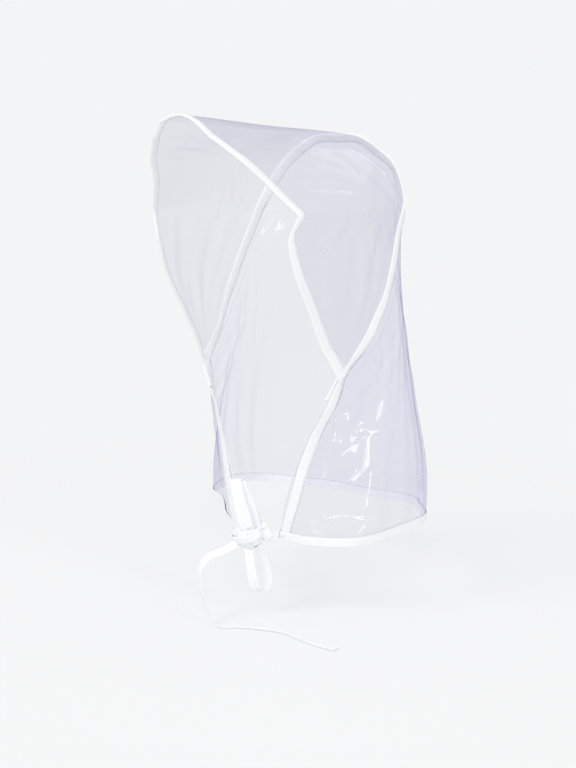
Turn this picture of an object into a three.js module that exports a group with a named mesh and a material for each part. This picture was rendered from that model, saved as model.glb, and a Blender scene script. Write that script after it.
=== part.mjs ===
// A clear plastic rain bonnet, worn: a hood panel with a wide peak, a cape that hangs from the crown
// seam to the shoulders, white tape folded over every edge, and tape ties knotted under the chin.
// Millimetres. The bonnet faces -Y, +X is the wearer's left and +Z is up. The origin is inside the top
// of the crown, where the film rests on the head.
import * as THREE from 'three';

// Driving dimensions of the hood panel
const HALF_OPENING = 71;      // half the face opening's width at the temples
const PEAK_REACH = 168;       // from the origin forwards to the peak's edge
const JAW_DROP = 200;         // from the origin down to the jaw, where hood and cape meet
const HOOD_BULGE = 9;         // how far the panel swells outside a straight stretch from edge to seam
const PEAK_DIP = 2.5;         // how far the top sinks between the peak's edge and the crown
const RIDGE_HEIGHT = 1.6;     // packing creases that run back from the peak's corners
const SIDE_FOLD = 1.0;        // soft upright folds over the ears

// Driving dimensions of the cape
const CAPE_HALF_WIDTH = 103;  // half the cape's width at the hem
const BACK_REACH = 128;       // from the origin back to the hem
const CAPE_DROP = 350;        // from the origin down to the hem
const GATHER_HEIGHT = 1.3;    // small gathers under the crown seam
const GATHERS = 11;           // gathers from jaw to jaw
const DRAPE_DEPTH = 4.5;      // loose folds that open towards the hem
const RIGHT_INWARD = 12.5;      // how much nearer the middle the wearer's right side hangs
const RIGHT_BACKWARD = 12;    // and how much further back
const RIGHT_RAISE = 19;       // and how much higher

// Film and tape
const FILM = 1.0;             // wall of the film
const TAPE_WIDTH = 7.5;       // how much film the folded tape covers
const TAPE_WALL = 0.7;        // one leaf of the folded tape
const CLEARANCE = 0.3;        // between film and tape, and between neighbours
const SLOT = FILM / 2 + CLEARANCE;
const LEAF = SLOT + TAPE_WALL;
const HOOD_SETBACK = LEAF + FILM / 2 + 3 * CLEARANCE; // from the seam to the hood panel's rear edge
const HOOD_START = 4.4;       // how far from the jaw the hood panel's film begins, along the face edge
const BRIM_TAPE_END = 4.0;    // how far the brim's tape runs past the film at each jaw

// Ties
const TIE_WIDTH = 7.5;
const TIE_THICKNESS = 1.6;
const FLOOR_DROP = 414;       // from the origin down to the surface that the long tail lies on
const KNOT_WIDTH = 28;
const KNOT_DEPTH = 16;
const KNOT_HEIGHT = 22;
const KNOT_PLACE = new THREE.Vector3(0, -78, -347.5);

// Mesh fineness
const HOOD_COLUMNS = 56;
const HOOD_ROWS = 8;
const CAPE_COLUMNS = 60;
const CAPE_ROWS = 12;

// Edge of the face opening from the jaw (around 0) to the middle of the peak (around 1).
// Columns: around, x / HALF_OPENING, y / PEAK_REACH, z / JAW_DROP
const FACE_EDGE = [
  [0.00, 0.985, -0.296, -0.965],
  [0.08, 0.943, -0.345, -0.910],
  [0.18, 0.926, -0.468, -0.768],
  [0.30, 0.930, -0.607, -0.596],
  [0.39, 0.922, -0.667, -0.460],
  [0.43, 0.944, -0.666, -0.413],
  [0.48, 0.991, -0.652, -0.362],
  [0.50, 1.010, -0.647, -0.341],
  [0.52, 0.981, -0.662, -0.324],
  [0.57, 0.908, -0.701, -0.282],
  [0.64, 0.773, -0.770, -0.208],
  [0.72, 0.640, -0.865, -0.131],
  [0.80, 0.526, -0.917, -0.085],
  [0.845, 0.417, -0.961, -0.051],
  [0.86, 0.380, -0.976, -0.040],
  [0.875, 0.344, -0.982, -0.025],
  [0.93, 0.214, -1.006, 0.030],
  [1.00, 0.000, -1.000, 0.053],
];

// Crown seam, where the cape hangs from the hood panel, from the wearer's left jaw (around 0) to the
// middle of the back (around 1). Columns: around, x / CAPE_HALF_WIDTH, y / BACK_REACH, z / JAW_DROP
const CROWN_SEAM = [
  [0.00, 0.72, -0.30, -1.000],
  [0.12, 0.750, -0.075, -0.870],
  [0.17, 0.768, -0.006, -0.806],
  [0.26, 0.80, 0.12, -0.684],
  [0.42, 0.76, 0.32, -0.455],
  [0.55, 0.73, 0.46, -0.306],
  [0.67, 0.62, 0.53, -0.184],
  [0.78, 0.45, 0.54, -0.096],
  [0.89, 0.24, 0.53, -0.035],
  [1.00, 0.00, 0.52, -0.021],
];

// Lower level curves of the cape, from its front edge (around 0) to the middle of the back (around 1).
// Columns: around, x / CAPE_HALF_WIDTH, y / BACK_REACH, z / CAPE_DROP
const NAPE = [
  [0.00, 0.59, -0.385, -0.674],
  [0.12, 0.75, -0.15, -0.646],
  [0.26, 0.82, 0.14, -0.557],
  [0.42, 0.81, 0.33, -0.457],
  [0.55, 0.69, 0.49, -0.394],
  [0.67, 0.56, 0.65, -0.349],
  [0.78, 0.42, 0.77, -0.320],
  [0.89, 0.22, 0.84, -0.303],
  [1.00, 0.00, 0.87, -0.297],
];
const NECK = [
  [0.00, 0.43, -0.43, -0.800],
  [0.12, 0.65, -0.31, -0.791],
  [0.26, 0.87, -0.06, -0.754],
  [0.42, 0.92, 0.21, -0.709],
  [0.55, 0.85, 0.45, -0.680],
  [0.67, 0.73, 0.64, -0.657],
  [0.78, 0.55, 0.79, -0.640],
  [0.89, 0.29, 0.88, -0.629],
  [1.00, 0.00, 0.92, -0.623],
];
const SHOULDER = [
  [0.00, 0.31, -0.445, -0.900],
  [0.12, 0.56, -0.40, -0.903],
  [0.26, 0.86, -0.20, -0.891],
  [0.42, 0.99, 0.17, -0.874],
  [0.55, 0.95, 0.46, -0.863],
  [0.67, 0.83, 0.68, -0.854],
  [0.78, 0.62, 0.84, -0.849],
  [0.89, 0.32, 0.94, -0.846],
  [1.00, 0.00, 0.98, -0.843],
];
const HEM = [
  [0.00, 0.20, -0.44, -1.004],
  [0.12, 0.49, -0.445, -1.006],
  [0.26, 0.83, -0.29, -1.006],
  [0.42, 1.00, 0.16, -1.000],
  [0.55, 0.96, 0.45, -1.001],
  [0.67, 0.84, 0.67, -1.003],
  [0.78, 0.64, 0.84, -1.006],
  [0.89, 0.34, 0.95, -1.009],
  [1.00, 0.00, 1.00, -1.010],
];
const CAPE_LEVELS = [0, 0.3, 0.6, 0.82, 1]; // how far down the cape each level curve lies

// How much of HOOD_BULGE each part of the hood panel gets. Columns: around, share
const BULGE_SHARE = [
  [0.00, 0.00],
  [0.20, 0.50],
  [0.45, 1.00],
  [0.70, 1.00],
  [0.85, 0.45],
  [1.00, 0.20],
];

// Packing creases of the hood panel. Columns: around, half-width, share of RIDGE_HEIGHT
const RIDGES = [
  [0.50, 0.045, 0.8],
  [0.86, 0.040, 1.0],
];

// Routes of the ties' centre lines, chosen points in millimetres
const NEAR_TIE = [
  [19.2, -57.1, -347.5], [18.2, -59.6, -348.2], [16.8, -62.4, -348.6], [14.8, -65.6, -348.6],
  [12.2, -68.6, -348.3], [9.8, -71.3, -347.8],
];
const FAR_TIE = [
  [-19.2, -57.1, -347.5], [-18.2, -59.6, -348.2], [-16.8, -62.4, -348.6], [-14.8, -65.6, -348.6],
  [-12.2, -68.6, -348.3], [-9.8, -71.3, -347.8],
];
const UPPER_LOOP = [
  [3.7, -82.9, -337.9], [1.9, -83.4, -332.3], [-1.0, -83.2, -323.9], [-4.4, -82.8, -314.7],
  [-7.2, -82.0, -306.5], [-9.2, -80.9, -301.2], [-10.7, -78.4, -298.4], [-10.8, -75.8, -299.5],
  [-9.3, -74.1, -304.0], [-5.7, -72.6, -311.8], [-1.0, -71.7, -321.1], [4.5, -71.0, -329.8],
  [11.0, -71.1, -339.4],
];
const LOWER_LOOP = [
  [3.9, -81.2, -357.9], [5.6, -82.7, -363.0], [7.3, -83.6, -369.0], [9.1, -84.3, -376.5],
  [10.6, -84.5, -384.0], [12.3, -82.9, -390.2], [14.8, -79.1, -393.2], [16.9, -74.4, -392.0],
  [17.4, -71.5, -387.1], [15.9, -70.4, -379.0], [13.3, -70.9, -370.3], [11.2, -71.9, -363.4],
  [9.0, -73.4, -355.9],
];
const TAIL_REST = TIE_THICKNESS / 2 - FLOOR_DROP; // height of the tail's centre line where it lies
const LONG_TAIL = [
  [-7.5, -84.6, -353.6], [-11.1, -88.6, -357.0], [-17.4, -96.6, -360.4], [-22.0, -103.6, -362.8],
  [-24.6, -110.0, -368.0], [-24.2, -115.6, -376.0], [-20.8, -119.2, -384.4], [-14.4, -122.2, -395.0],
  [-7.4, -124.4, -404.6], [-1.0, -126.2, -411.2], [5.0, -126.0, TAIL_REST], [19.5, -117.5, TAIL_REST],
  [39.5, -110.8, TAIL_REST], [58.4, -108.2, TAIL_REST], [77.7, -113.6, TAIL_REST],
  [99.2, -118.6, TAIL_REST], [116.0, -120.4, TAIL_REST],
];

// Directions that the tapes' widths keep to
const BOW_WIDTH = new THREE.Vector3(0.84, 0.54, 0);
const TAIL_WIDTH = new THREE.Vector3(0.54, -0.84, 0);
const UPRIGHT = new THREE.Vector3(0, 0, 1);

// One level curve over both sides: the table's rows, then their mirror image, from around 0 to 2
function bothSides(rows, width, depth, height) {
  const left = rows.map(([around, x, y, z]) => ({
    around,
    point: new THREE.Vector3(x * width, y * depth, z * height),
  }));
  const right = left.slice(0, -1).reverse().map(({ around, point }) => ({
    around: 2 - around,
    point: new THREE.Vector3(-point.x, point.y, point.z),
  }));
  return [...left, ...right];
}

// Cubic piece from a to b whose slopes, over a stretch of the given length, are slopeA and slopeB
function cubic(a, b, slopeA, slopeB, length, u) {
  const u2 = u * u;
  const u3 = u2 * u;
  return a.clone().multiplyScalar(2 * u3 - 3 * u2 + 1)
    .addScaledVector(slopeA, (u3 - 2 * u2 + u) * length)
    .addScaledVector(b, 3 * u2 - 2 * u3)
    .addScaledVector(slopeB, (u3 - u2) * length);
}

// Slope of a table at one row: that of the straight line between its neighbours
function slopeAt(rows, index) {
  const before = rows[Math.max(index - 1, 0)];
  const after = rows[Math.min(index + 1, rows.length - 1)];
  return after.point.clone().sub(before.point).divideScalar(after.around - before.around);
}

// Smooth curve through the rows of a table
function along(rows, around) {
  let index = rows.findIndex((row) => row.around > around) - 1;
  if (index < 0) index = rows.length - 2;
  const from = rows[index];
  const to = rows[index + 1];
  const length = to.around - from.around;
  const u = (around - from.around) / length;
  return cubic(from.point, to.point, slopeAt(rows, index), slopeAt(rows, index + 1), length, u);
}

// Straight stretches through the rows of a two-column table, the same on both sides
function share(rows, around) {
  const side = around > 1 ? 2 - around : around;
  const index = Math.max(rows.findIndex((row) => row[0] >= side), 1);
  const [fromAround, from] = rows[index - 1];
  const [toAround, to] = rows[index];
  return THREE.MathUtils.lerp(from, to, (side - fromAround) / (toAround - fromAround));
}

const faceEdge = bothSides(FACE_EDGE, HALF_OPENING, PEAK_REACH, JAW_DROP);
const crownSeam = bothSides(CROWN_SEAM, CAPE_HALF_WIDTH, BACK_REACH, JAW_DROP);
const lowerCurves = [NAPE, NECK, SHOULDER, HEM]
  .map((rows) => bothSides(rows, CAPE_HALF_WIDTH, BACK_REACH, CAPE_DROP));
const capeCurves = [crownSeam, ...lowerCurves];
const rightShift = new THREE.Vector3(RIGHT_INWARD, RIGHT_BACKWARD, RIGHT_RAISE);

const { smoothstep } = THREE.MathUtils;

// Hood panel: around 0 to 2 from jaw to jaw, back 0 to 1 from the face edge to the crown seam
function hoodFilm(around, back) {
  const point = along(faceEdge, around).lerp(along(crownSeam, around), back);
  const outward = new THREE.Vector3(point.x, 0, point.z + JAW_DROP / 2).normalize();
  const side = around > 1 ? 2 - around : around;
  const swell = HOOD_BULGE * share(BULGE_SHARE, around) * 4 * back * (1 - back);
  const top = smoothstep(side, 0.8, 1);
  const dip = PEAK_DIP * top * Math.sin(Math.PI * back) ** 2;
  const ridge = RIDGES.reduce((sum, [at, halfWidth, height]) => (
    sum + height * RIDGE_HEIGHT * Math.exp(-(((side - at) / halfWidth) ** 2)) * (1 - back)
  ), 0);
  const ear = smoothstep(side, 0.12, 0.25) * (1 - smoothstep(side, 0.42, 0.5));
  const fold = SIDE_FOLD * ear * Math.cos(2 * Math.PI * 3 * back) * Math.sin(Math.PI * back);
  return point.addScaledVector(outward, swell - dip + ridge + fold);
}

// The cape without its folds: around 0 to 2 from front edge to front edge, down 0 to 1 from seam to hem
function plainCape(around, down) {
  const rows = capeCurves.map((curve, level) => ({
    around: CAPE_LEVELS[level],
    point: along(curve, around),
  }));
  const index = Math.max(CAPE_LEVELS.findIndex((level) => level >= down), 1) - 1;
  const from = rows[index];
  const to = rows[index + 1];
  const length = to.around - from.around;
  const straight = to.point.clone().sub(from.point).divideScalar(length);
  const slopeFrom = slopeAt(rows, index);
  const slopeTo = slopeAt(rows, index + 1);
  if (index === 0) slopeFrom.copy(straight).multiplyScalar(2).sub(slopeTo);
  if (index === rows.length - 2) slopeTo.copy(straight).multiplyScalar(2).sub(slopeFrom);
  const point = cubic(from.point, to.point, slopeFrom, slopeTo, length, (down - from.around) / length);
  const fromRight = 2 - around;
  const near = smoothstep(fromRight, 0, 0.2);
  const far = smoothstep(fromRight, 0.2, 1);
  return point.addScaledVector(rightShift, near * (1 - far) * down);
}

// Cape with gathers under the seam and loose folds towards the hem, both fading at the front edges
function capeFilm(around, down) {
  const edge = Math.sin((Math.PI * around) / 2) ** 2;
  const gather = GATHER_HEIGHT * Math.cos(Math.PI * GATHERS * around) * (1 - down) ** 3;
  const drape = DRAPE_DEPTH * Math.cos(2 * Math.PI * (3.5 * around + 0.1)) * down ** 2;
  const normal = normalOf(plainCape, around, down);
  return plainCape(around, down).addScaledVector(normal, edge * (gather + drape));
}

// Outward normal of a film surface
function normalOf(surface, around, down) {
  const step = 0.004;
  const left = surface(Math.max(around - step, 0), down);
  const sideways = surface(Math.min(around + step, 2), down).sub(left);
  const above = surface(around, Math.max(down - step, 0));
  const downwards = surface(around, Math.min(down + step, 1)).sub(above);
  return downwards.cross(sideways).normalize();
}

// Point and normal of a film surface
function sample(surface, around, down) {
  return { point: surface(around, down), normal: normalOf(surface, around, down) };
}

// How much of a surface's parameter covers a length, measured square to the edge along the other one
function inset(surface, around, down, alongRib, length) {
  const step = 0.01;
  const toward = down < 0.5 ? step : -step;
  const inward = around < 1 ? step : -step;
  const rib = surface(around, down + toward).sub(surface(around, down)).divideScalar(step);
  const level = surface(around + inward, down).sub(surface(around, down)).divideScalar(step);
  const square = rib.clone().cross(level).length();
  return (alongRib ? level.length() : rib.length()) * (length / square);
}

// Closed body from its vertices and triangles, turned so that its faces point outwards
function closedBody(points, triangles) {
  const volume = triangles.reduce((sum, [a, b, c]) => (
    sum + points[a].dot(points[b].clone().cross(points[c]))
  ), 0);
  const geometry = new THREE.BufferGeometry();
  geometry.setFromPoints(points);
  geometry.setIndex(triangles.flatMap(([a, b, c]) => (volume > 0 ? [a, b, c] : [a, c, b])));
  geometry.computeVertexNormals();
  return geometry;
}

// Film of even thickness over a grid of samples, columns first. The cells that crossed() picks are split
// along their other diagonal, as the tape over them is.
function filmBody(grid, crossed) {
  const columns = grid.length;
  const rows = grid[0].length;
  const points = [FILM / 2, -FILM / 2].flatMap((offset) => grid.flat().map(({ point, normal }) => (
    point.clone().addScaledVector(normal, offset)
  )));
  const outer = (column, row) => column * rows + row;
  const inner = (column, row) => columns * rows + outer(column, row);
  const triangles = [];
  const quad = (a, b, c, d) => triangles.push([a, b, c], [a, c, d]);
  for (let i = 0; i < columns - 1; i++) {
    for (let j = 0; j < rows - 1; j++) {
      if (crossed(i, j)) {
        quad(outer(i, j + 1), outer(i + 1, j + 1), outer(i + 1, j), outer(i, j));
        quad(inner(i + 1, j), inner(i + 1, j + 1), inner(i, j + 1), inner(i, j));
      } else {
        quad(outer(i, j), outer(i, j + 1), outer(i + 1, j + 1), outer(i + 1, j));
        quad(inner(i, j), inner(i + 1, j), inner(i + 1, j + 1), inner(i, j + 1));
      }
    }
    quad(outer(i, 0), outer(i + 1, 0), inner(i + 1, 0), inner(i, 0));
    const last = rows - 1;
    quad(outer(i + 1, last), outer(i, last), inner(i, last), inner(i + 1, last));
  }
  for (let j = 0; j < rows - 1; j++) {
    quad(outer(0, j + 1), outer(0, j), inner(0, j), inner(0, j + 1));
    const end = columns - 1;
    quad(outer(end, j), outer(end, j + 1), inner(end, j + 1), inner(end, j));
  }
  return closedBody(points, triangles);
}

// Tape folded over a film edge: a U section swept over pairs of samples, one on the edge, one further in.
// Sides 2, 3, 6 and 7 are split along their other diagonal, as the film inside them is.
function bindingBody(pairs) {
  const points = pairs.flatMap(({ edge, within }) => {
    const outward = edge.point.clone().sub(within.point).normalize();
    const atEdge = (out, off) => (
      edge.point.clone().addScaledVector(outward, out).addScaledVector(edge.normal, off)
    );
    const atRim = (off) => within.point.clone().addScaledVector(within.normal, off);
    const fold = CLEARANCE + TAPE_WALL;
    return [
      atEdge(fold, -LEAF), atRim(-LEAF), atRim(-SLOT), atEdge(CLEARANCE, -SLOT),
      atEdge(CLEARANCE, SLOT), atRim(SLOT), atRim(LEAF), atEdge(fold, LEAF),
    ];
  });
  const triangles = [];
  const cap = [[0, 1, 2], [0, 2, 3], [0, 3, 4], [0, 4, 7], [7, 4, 5], [7, 5, 6]];
  const last = 8 * (pairs.length - 1);
  cap.forEach(([a, b, c]) => triangles.push([a, c, b], [last + a, last + b, last + c]));
  for (let ring = 0; ring < pairs.length - 1; ring++) {
    for (let side = 0; side < 8; side++) {
      const a = 8 * ring + side;
      const b = 8 * ring + ((side + 1) % 8);
      if (side % 4 > 1) triangles.push([a, b, a + 8], [b, b + 8, a + 8]);
      else triangles.push([a, b, b + 8], [a, b + 8, a + 8]);
    }
  }
  return closedBody(points, triangles);
}

// Flat tie: an eight-sided flattened section swept along a smooth route, its width kept near one direction
function tieBody(route, widthAlong, step) {
  const path = new THREE.CatmullRomCurve3(route.map((point) => new THREE.Vector3(...point)));
  const steps = Math.ceil(path.getLength() / step);
  const reach = Math.cos(Math.PI / 8);
  const points = Array.from({ length: steps + 1 }, (_, ring) => {
    const centre = path.getPointAt(ring / steps);
    const tangent = path.getTangentAt(ring / steps);
    const across = widthAlong.clone().projectOnPlane(tangent).normalize();
    const through = tangent.clone().cross(across);
    return Array.from({ length: 8 }, (__, corner) => {
      const angle = (Math.PI * (2 * corner + 1)) / 8;
      return centre.clone()
        .addScaledVector(across, (TIE_WIDTH / 2) * (Math.cos(angle) / reach))
        .addScaledVector(through, (TIE_THICKNESS / 2) * Math.sin(angle));
    });
  }).flat();
  const triangles = [];
  for (let corner = 1; corner < 7; corner++) {
    triangles.push([0, corner + 1, corner], [8 * steps, 8 * steps + corner, 8 * steps + corner + 1]);
  }
  for (let ring = 0; ring < steps; ring++) {
    for (let corner = 0; corner < 8; corner++) {
      const a = 8 * ring + corner;
      const b = 8 * ring + ((corner + 1) % 8);
      triangles.push([a, b, b + 8], [a, b + 8, a + 8]);
    }
  }
  return closedBody(points, triangles);
}

// Grid of the hood panel: columns from jaw to jaw, rows from the face edge to just short of the seam tape
function hoodGrid() {
  const step = 0.01;
  const begin = (HOOD_START * step) / hoodFilm(step, 0).distanceTo(hoodFilm(0, 0));
  return Array.from({ length: HOOD_COLUMNS + 1 }, (_, column) => {
    const around = THREE.MathUtils.lerp(begin, 2 - begin, column / HOOD_COLUMNS);
    const length = hoodFilm(around, 0).distanceTo(hoodFilm(around, 1));
    const start = TAPE_WIDTH / length;
    const end = 1 - HOOD_SETBACK / length;
    return Array.from({ length: HOOD_ROWS + 1 }, (__, row) => {
      const back = row === 0 ? 0 : THREE.MathUtils.lerp(start, end, (row - 1) / (HOOD_ROWS - 1));
      return sample(hoodFilm, around, back);
    });
  });
}

// Grid of the cape: the second and last-but-one rows and columns lie one tape's width in from the edges
function capeGrid() {
  const top = Array.from({ length: CAPE_COLUMNS + 1 }, (_, column) => (2 * column) / CAPE_COLUMNS);
  return top.map((even, column) => {
    const seamInset = inset(plainCape, even, 0, true, TAPE_WIDTH);
    const hemInset = inset(plainCape, even, 1, true, TAPE_WIDTH);
    return Array.from({ length: CAPE_ROWS + 1 }, (_, row) => {
      const inner = THREE.MathUtils.lerp(seamInset, 1 - hemInset, (row - 1) / (CAPE_ROWS - 2));
      let down = inner;
      if (row === 0) down = 0;
      if (row === CAPE_ROWS) down = 1;
      const leftInset = inset(plainCape, 0, down, false, TAPE_WIDTH);
      const rightInset = inset(plainCape, 2, down, false, TAPE_WIDTH);
      const side = THREE.MathUtils.lerp(leftInset, 2 - rightInset, (column - 1) / (CAPE_COLUMNS - 2));
      let around = side;
      if (column === 0) around = 0;
      if (column === CAPE_COLUMNS) around = 2;
      return sample(capeFilm, around, down);
    });
  });
}

// Sample part of the way from one sample to another
function between(from, to, part) {
  return {
    point: from.point.clone().lerp(to.point, part),
    normal: from.normal.clone().lerp(to.normal, part).normalize(),
  };
}

const hood = hoodGrid();
const cape = capeGrid();
const lastColumn = CAPE_COLUMNS;
const lastRow = CAPE_ROWS;

// The brim's tape runs a little past the film at each jaw, up to the cape's tape
function brimPairs() {
  const pairs = hood.map((column) => ({ edge: column[0], within: column[1] }));
  const beyond = (pair, next) => {
    const onwards = pair.edge.point.clone().sub(next.edge.point).setLength(BRIM_TAPE_END);
    const moved = ({ point, normal }) => ({ point: point.clone().add(onwards), normal });
    return { edge: moved(pair.edge), within: moved(pair.within) };
  };
  return [beyond(pairs[0], pairs[1]), ...pairs, beyond(pairs.at(-1), pairs.at(-2))];
}

// The cape's tape is one length: up the left front edge, over the crown seam and down the right one
function capePairs() {
  const pairs = [];
  const above = (column, within) => {
    const rise = cape[column][lastRow - 1].point.distanceTo(cape[column][lastRow - 2].point);
    const part = (2 * CLEARANCE) / rise;
    return {
      edge: between(cape[column][lastRow - 1], cape[column][lastRow - 2], part),
      within: between(cape[within][lastRow - 1], cape[within][lastRow - 2], part),
    };
  };
  pairs.push(above(0, 1));
  for (let row = lastRow - 2; row > 0; row--) pairs.push({ edge: cape[0][row], within: cape[1][row] });
  pairs.push({ edge: cape[0][0], within: cape[1][1] });
  for (let column = 1; column < lastColumn; column++) {
    pairs.push({ edge: cape[column][0], within: cape[column][1] });
  }
  pairs.push({ edge: cape[lastColumn][0], within: cape[lastColumn - 1][1] });
  for (let row = 1; row < lastRow - 1; row++) {
    pairs.push({ edge: cape[lastColumn][row], within: cape[lastColumn - 1][row] });
  }
  pairs.push(above(lastColumn, lastColumn - 1));
  return pairs;
}

function hemPairs() {
  return cape.map((column) => ({ edge: column[lastRow], within: column[lastRow - 1] }));
}

function knotBody() {
  const geometry = new THREE.SphereGeometry(0.5, 14, 8);
  geometry.scale(KNOT_WIDTH, KNOT_DEPTH, KNOT_HEIGHT);
  return geometry;
}

const filmLook = () => new THREE.MeshStandardMaterial({
  color: 0xe4e2ee, roughness: 0.08, metalness: 0, transparent: true, opacity: 0.3, side: THREE.DoubleSide,
});
const tapeLook = () => new THREE.MeshStandardMaterial({ color: 0xf7f8fc, roughness: 0.55, metalness: 0 });

const bonnet = new THREE.Group();
bonnet.name = 'rain_bonnet';

function add(name, geometry, material, place = new THREE.Vector3()) {
  const mesh = new THREE.Mesh(geometry, material);
  mesh.name = name;
  mesh.position.copy(place);
  bonnet.add(mesh);
}

const underSideOrHemTape = (column, row) => (
  (column === 0 && row > 0) || column === CAPE_COLUMNS - 1 || row === CAPE_ROWS - 1
);

add('hood_panel', filmBody(hood, () => false), filmLook());
add('cape', filmBody(cape, underSideOrHemTape), filmLook());
add('brim_binding', bindingBody(brimPairs()), tapeLook());
add('cape_binding', bindingBody(capePairs()), tapeLook());
add('hem_binding', bindingBody(hemPairs()), tapeLook());
add('bow_knot', knotBody(), tapeLook(), KNOT_PLACE);
add('near_tie', tieBody(NEAR_TIE, UPRIGHT, 4), tapeLook());
add('far_tie', tieBody(FAR_TIE, UPRIGHT, 4), tapeLook());
add('upper_loop', tieBody(UPPER_LOOP, BOW_WIDTH, 4.5), tapeLook());
add('lower_loop', tieBody(LOWER_LOOP, BOW_WIDTH, 4.5), tapeLook());
add('long_tail', tieBody(LONG_TAIL, TAIL_WIDTH, 6), tapeLook());

export default bonnet;
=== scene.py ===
"""Clear plastic rain bonnet with white tape edges and a bow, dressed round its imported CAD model.

Metres. The bonnet faces -Y, +X is the wearer's left and +Z is up. The origin is inside the top of the crown.
"""

import math

import bpy
import numpy as np
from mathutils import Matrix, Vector


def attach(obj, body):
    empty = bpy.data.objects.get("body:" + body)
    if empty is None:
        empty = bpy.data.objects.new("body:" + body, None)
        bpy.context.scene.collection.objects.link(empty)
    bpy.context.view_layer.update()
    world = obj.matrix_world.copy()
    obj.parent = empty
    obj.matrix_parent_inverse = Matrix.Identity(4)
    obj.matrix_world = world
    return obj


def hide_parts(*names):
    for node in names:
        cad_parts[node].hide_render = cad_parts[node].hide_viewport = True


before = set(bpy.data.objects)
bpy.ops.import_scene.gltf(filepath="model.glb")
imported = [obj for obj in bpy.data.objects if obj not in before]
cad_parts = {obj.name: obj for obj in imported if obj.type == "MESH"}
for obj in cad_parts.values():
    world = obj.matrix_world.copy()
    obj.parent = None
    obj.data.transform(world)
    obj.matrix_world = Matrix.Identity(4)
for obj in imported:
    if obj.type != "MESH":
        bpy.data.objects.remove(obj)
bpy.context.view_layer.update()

# Driving dimensions of hood panel and cape, as in the CAD model
HALF_OPENING = 0.071
PEAK_REACH = 0.168
JAW_DROP = 0.200
HOOD_BULGE = 0.009
PEAK_DIP = 0.0025
CAPE_HALF_WIDTH = 0.103
BACK_REACH = 0.128
CAPE_DROP = 0.350
GATHER_HEIGHT = 0.0013
GATHERS = 11
DRAPE_DEPTH = 0.0045
RIGHT_SHIFT = np.array([0.0125, 0.012, 0.019])

# How far the cape's front edges curl towards the throat, and over which share of around
LEFT_CURL = 0.0030
RIGHT_CURL = 0.0072
CURL_BAND = 0.05

# Heights of the films' relief
RIDGE_HEIGHT = 0.0016
EAR_FOLD = 0.0010
FINE_FOLD = 0.00045
PUCKER = 0.0005
CREASE = 0.0009
OVAL = 0.0006

# Where around the brim turns: at the temple and at the peak's corner
TEMPLE_CORNER = 0.50
PEAK_CORNER = 0.86

# Tape and ties
TAPE_WIDTH = 0.0080
BRIM_WIDTH = 0.0060
TAPE_HALF = 0.0008
TAPE_LEAF = 0.0003
TIE_WIDTH = 0.0075
TIE_THICKNESS = 0.0010
TIE_STEP = 0.0008
EVEN_TIE = (TIE_WIDTH, TIE_WIDTH, TIE_WIDTH)
TIE_GROW = (0.002, 0.002)
SHORT_TIE_GROW = (0.004, 0.004)
BOW_CUP = 0.12
ROOT_CUP = 0.10
FLOOR_DROP = 0.414

# Brim's tape: where around it starts, how far down the cape's front edge it is drawn and its ends run, how
# far it lies outside its edge near the left jaw, and how much narrower or wider it lies
BRIM_START = 0.05
BRIM_JOIN = 0.085
BRIM_FURTHER = 0.0042
BRIM_END_DOWN = 0.235
BRIM_END_PAST = 0.0024
BRIM_NARROWING = 0.62
BRIM_WIDENING = 0.50
UNDER_TAPE = 0.0017
TEMPLE_LEVEL = -0.0795

# Cape's tape spreads flat at the jaw, and its trimmed film margin stands outside it
JAW_LEVEL = -0.219
TAPE_SPREAD = 0.34
SELVEDGE = 0.0048
# Half-thickness of the margin's rim, painted near white as a highlight
RIM_HALF = 0.00035

# Knot: middle, half-sizes and the share of them that its core has
KNOT_PLACE = np.array([0.0, -0.078, -0.3475])
KNOT_HALF = np.array([0.0148, 0.0084, 0.0108])
KNOT_CORE = 0.93

# Camera, by the photograph's view
AZIMUTH = math.radians(33)
ELEVATION = math.radians(10)
CAMERA_DISTANCE = 1.25
CAMERA_AIM = np.array([0.0152, -0.0361, -0.2183])
LENS = 67.4

# Film: see-through tints; how milky it is square on, edge-on, on fine creases and on the welts' painted
# highlight
HOOD_TINT = (0.91, 0.91, 0.935)
CAPE_TINT = (0.918, 0.93, 0.968)
EDGE_TINT = (0.88, 0.875, 0.95)
FILM_BODY = (0.80, 0.80, 0.86, 1)
# Near white body of the painted highlight along the welts
HIGHLIGHT_BODY = (0.98, 0.98, 1.0, 1)
FACING_MILK = 0.09
EDGE_MILK = 0.22
CREASE_MILK = 0.10
# Milky share of the painted highlight on a full welt
HIGHLIGHT_MILK = 0.55
HOOD_CREASES = 30
CAPE_CREASES = 26

# Tape colours over its width, with a painted highlight at the fold and the edges. Columns: share of the
# width from the fold, red, green, blue
TAPE_COLOURS_AND_HIGHLIGHT = [
    (0.00, 0.970, 0.972, 0.980),
    (0.16, 0.970, 0.972, 0.980),
    (0.30, 0.930, 0.940, 0.970),
    (0.85, 0.935, 0.945, 0.972),
    (1.00, 0.950, 0.955, 0.970),
]
TAPE_RIB = 0.0011

# Studio
SURROUND = (0.905, 0.907, 0.918)
DAYLIGHT = 0.77
FLOOR_WHITE = (0.92, 0.92, 0.925)
FLOOR_REACH = 4.0
FLOOR_GAP = 0.0006
FADE_START = 0.12
FADE_END = 0.88
MIRRORED_LOW = (0.30, 0.31, 0.36, 1)
MIRRORED_HIGH = (0.75, 0.77, 0.85, 1)
LAMP_AIM = (0, 0, -0.2)

# Lamps. Columns: name, place, width and height, power in watts
LAMPS = [
    ("key", (-0.9, -1.5, 1.3), (0.9, 0.9), 12),
    ("left strip", (1.5, -0.5, 0.3), (0.14, 1.3), 4.5),
    ("front strip", (0.75, -1.35, 1.0), (0.12, 1.2), 3),
    ("rim", (0.2, 1.6, 0.9), (1.0, 0.4), 1.2),
]

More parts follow.
